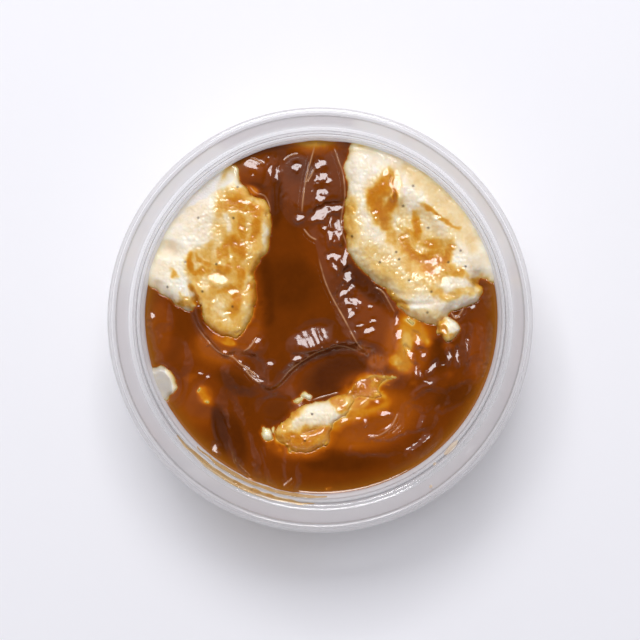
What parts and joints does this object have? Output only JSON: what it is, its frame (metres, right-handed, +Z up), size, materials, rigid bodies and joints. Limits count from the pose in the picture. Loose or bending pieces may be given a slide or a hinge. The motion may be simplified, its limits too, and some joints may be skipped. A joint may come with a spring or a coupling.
{
  "type": "mashed potato side",
  "caption": "Side of mashed potato and brown gravy in a round clear plastic deli tub, open on top.",
  "frame": {"origin": "middle of the tub's foot ring, on the plane that it stands on", "axes": "+Z up along the tub's axis, +Y to the back of the tub as served, +X to its right"},
  "size_m": [0.117, 0.117, 0.043],
  "materials": {
    "clear_plastic": "clear moulded polypropylene, glossy, very slightly milky",
    "mashed_potato": "cream mashed potato, moist and crumbly, stained with gravy, with fine pepper",
    "brown_gravy": "thick brown gravy, glossy and translucent, amber where it is thin"
  },
  "bodies": {
    "root": {"tub": "clear_plastic", "mash": "mashed_potato", "gravy": "brown_gravy"}
  },
  "joints": []
}
